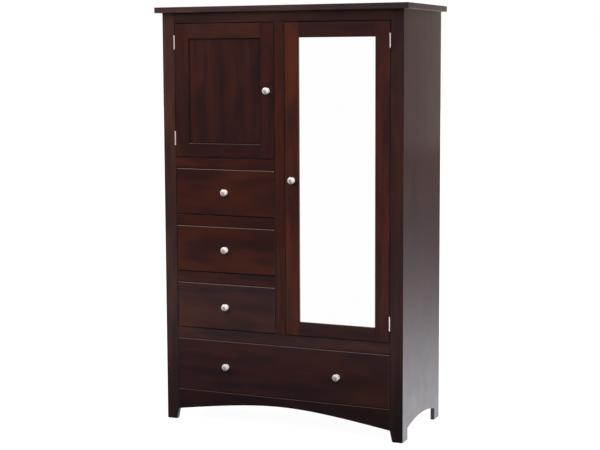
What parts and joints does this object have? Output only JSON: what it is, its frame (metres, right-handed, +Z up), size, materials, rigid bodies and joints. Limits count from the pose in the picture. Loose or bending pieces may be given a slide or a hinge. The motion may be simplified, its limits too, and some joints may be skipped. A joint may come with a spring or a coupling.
{
  "type": "armoire",
  "caption": "Tall espresso-stained wooden armoire on cut-out feet, with a small panelled door over stacked drawers, a full-length mirror door and a wide bottom drawer.",
  "frame": {"origin": "on the floor, under the centre of the top board's outline", "axes": "+X to the armoire's left-hand side as it looks out, which is the viewer's right; +Y to the rear; +Z up"},
  "size_m": [1.234, 0.536, 1.93],
  "materials": {
    "stained_wood": "dark espresso stain under a satin clear coat",
    "interior_wood": "espresso-stained plywood, satin",
    "natural_wood": "clear-coated light maple",
    "drawer_ply": "clear-coated light plywood",
    "mirror": "silvered glass",
    "hardboard": "plain brown hardboard",
    "satin_nickel": "satin nickel plate",
    "rod_metal": "satin nickel-plated tube",
    "zinc_steel": "zinc-plated",
    "catch_plastic": "matte brown"
  },
  "bodies": {
    "case": {"top_board": "stained_wood", "left_side_panel": "stained_wood", "right_side_panel": "stained_wood", "left_stile": "stained_wood", "right_stile": "stained_wood", "centre_stile": "stained_wood", "top_rail": "stained_wood", "cupboard_rail": "stained_wood", "upper_drawer_rail": "stained_wood", "lower_drawer_rail": "stained_wood", "deck_rail": "stained_wood", "apron": "stained_wood", "back_panel": "interior_wood", "bottom_board": "interior_wood", "deck_board": "interior_wood", "centre_partition": "interior_wood", "cupboard_floor": "interior_wood", "cupboard_shelf": "interior_wood", "shelf_pins": "satin_nickel", "hanging_rod": "rod_metal", "rod_sockets": "rod_metal", "drawer_runners": "natural_wood", "drawer_guides": "natural_wood", "hinge_case_leaves": "satin_nickel", "hinge_pins": "satin_nickel", "door_catches": "catch_plastic"},
    "left_door": {"left_door_hinge_stile": "stained_wood", "left_door_lock_stile": "stained_wood", "left_door_top_rail": "stained_wood", "left_door_bottom_rail": "stained_wood", "left_door_panel": "stained_wood", "left_door_knob": "satin_nickel", "left_door_hinge_leaves": "satin_nickel", "left_door_strike": "zinc_steel"},
    "mirror_door": {"mirror_door_hinge_stile": "stained_wood", "mirror_door_lock_stile": "stained_wood", "mirror_door_top_rail": "stained_wood", "mirror_door_bottom_rail": "stained_wood", "mirror_glass": "mirror", "mirror_backing": "hardboard", "mirror_retainers": "stained_wood", "mirror_door_knob": "satin_nickel", "mirror_door_hinge_leaves": "satin_nickel", "mirror_door_strike": "zinc_steel"},
    "upper_drawer": {"upper_drawer_front": "stained_wood", "upper_drawer_box": "natural_wood", "upper_drawer_bottom": "drawer_ply", "upper_drawer_knob": "satin_nickel"},
    "middle_drawer": {"middle_drawer_front": "stained_wood", "middle_drawer_box": "natural_wood", "middle_drawer_bottom": "drawer_ply", "middle_drawer_knob": "satin_nickel"},
    "lower_drawer": {"lower_drawer_front": "stained_wood", "lower_drawer_box": "natural_wood", "lower_drawer_bottom": "drawer_ply", "lower_drawer_knob": "satin_nickel"},
    "bottom_drawer": {"bottom_drawer_front": "stained_wood", "bottom_drawer_box": "natural_wood", "bottom_drawer_bottom": "drawer_ply", "bottom_drawer_knobs": "satin_nickel"}
  },
  "joints": [
    {"name": "left_door_swing", "type": "hinge", "parent": "case", "child": "left_door", "pos_m": [-0.5275, -0.247, 1.5495], "axis": [0, 0, -1], "range_deg": [0, 110]},
    {"name": "mirror_door_swing", "type": "hinge", "parent": "case", "child": "mirror_door", "pos_m": [0.5275, -0.247, 1.1505], "axis": [0, 0, 1], "range_deg": [0, 110]},
    {"name": "upper_drawer_slide", "type": "slide", "parent": "case", "child": "upper_drawer", "axis": [0, -1, 0], "range_m": [0, 0.36]},
    {"name": "middle_drawer_slide", "type": "slide", "parent": "case", "child": "middle_drawer", "axis": [0, -1, 0], "range_m": [0, 0.36]},
    {"name": "lower_drawer_slide", "type": "slide", "parent": "case", "child": "lower_drawer", "axis": [0, -1, 0], "range_m": [0, 0.36]},
    {"name": "bottom_drawer_slide", "type": "slide", "parent": "case", "child": "bottom_drawer", "axis": [0, -1, 0], "range_m": [0, 0.36]}
  ]
}
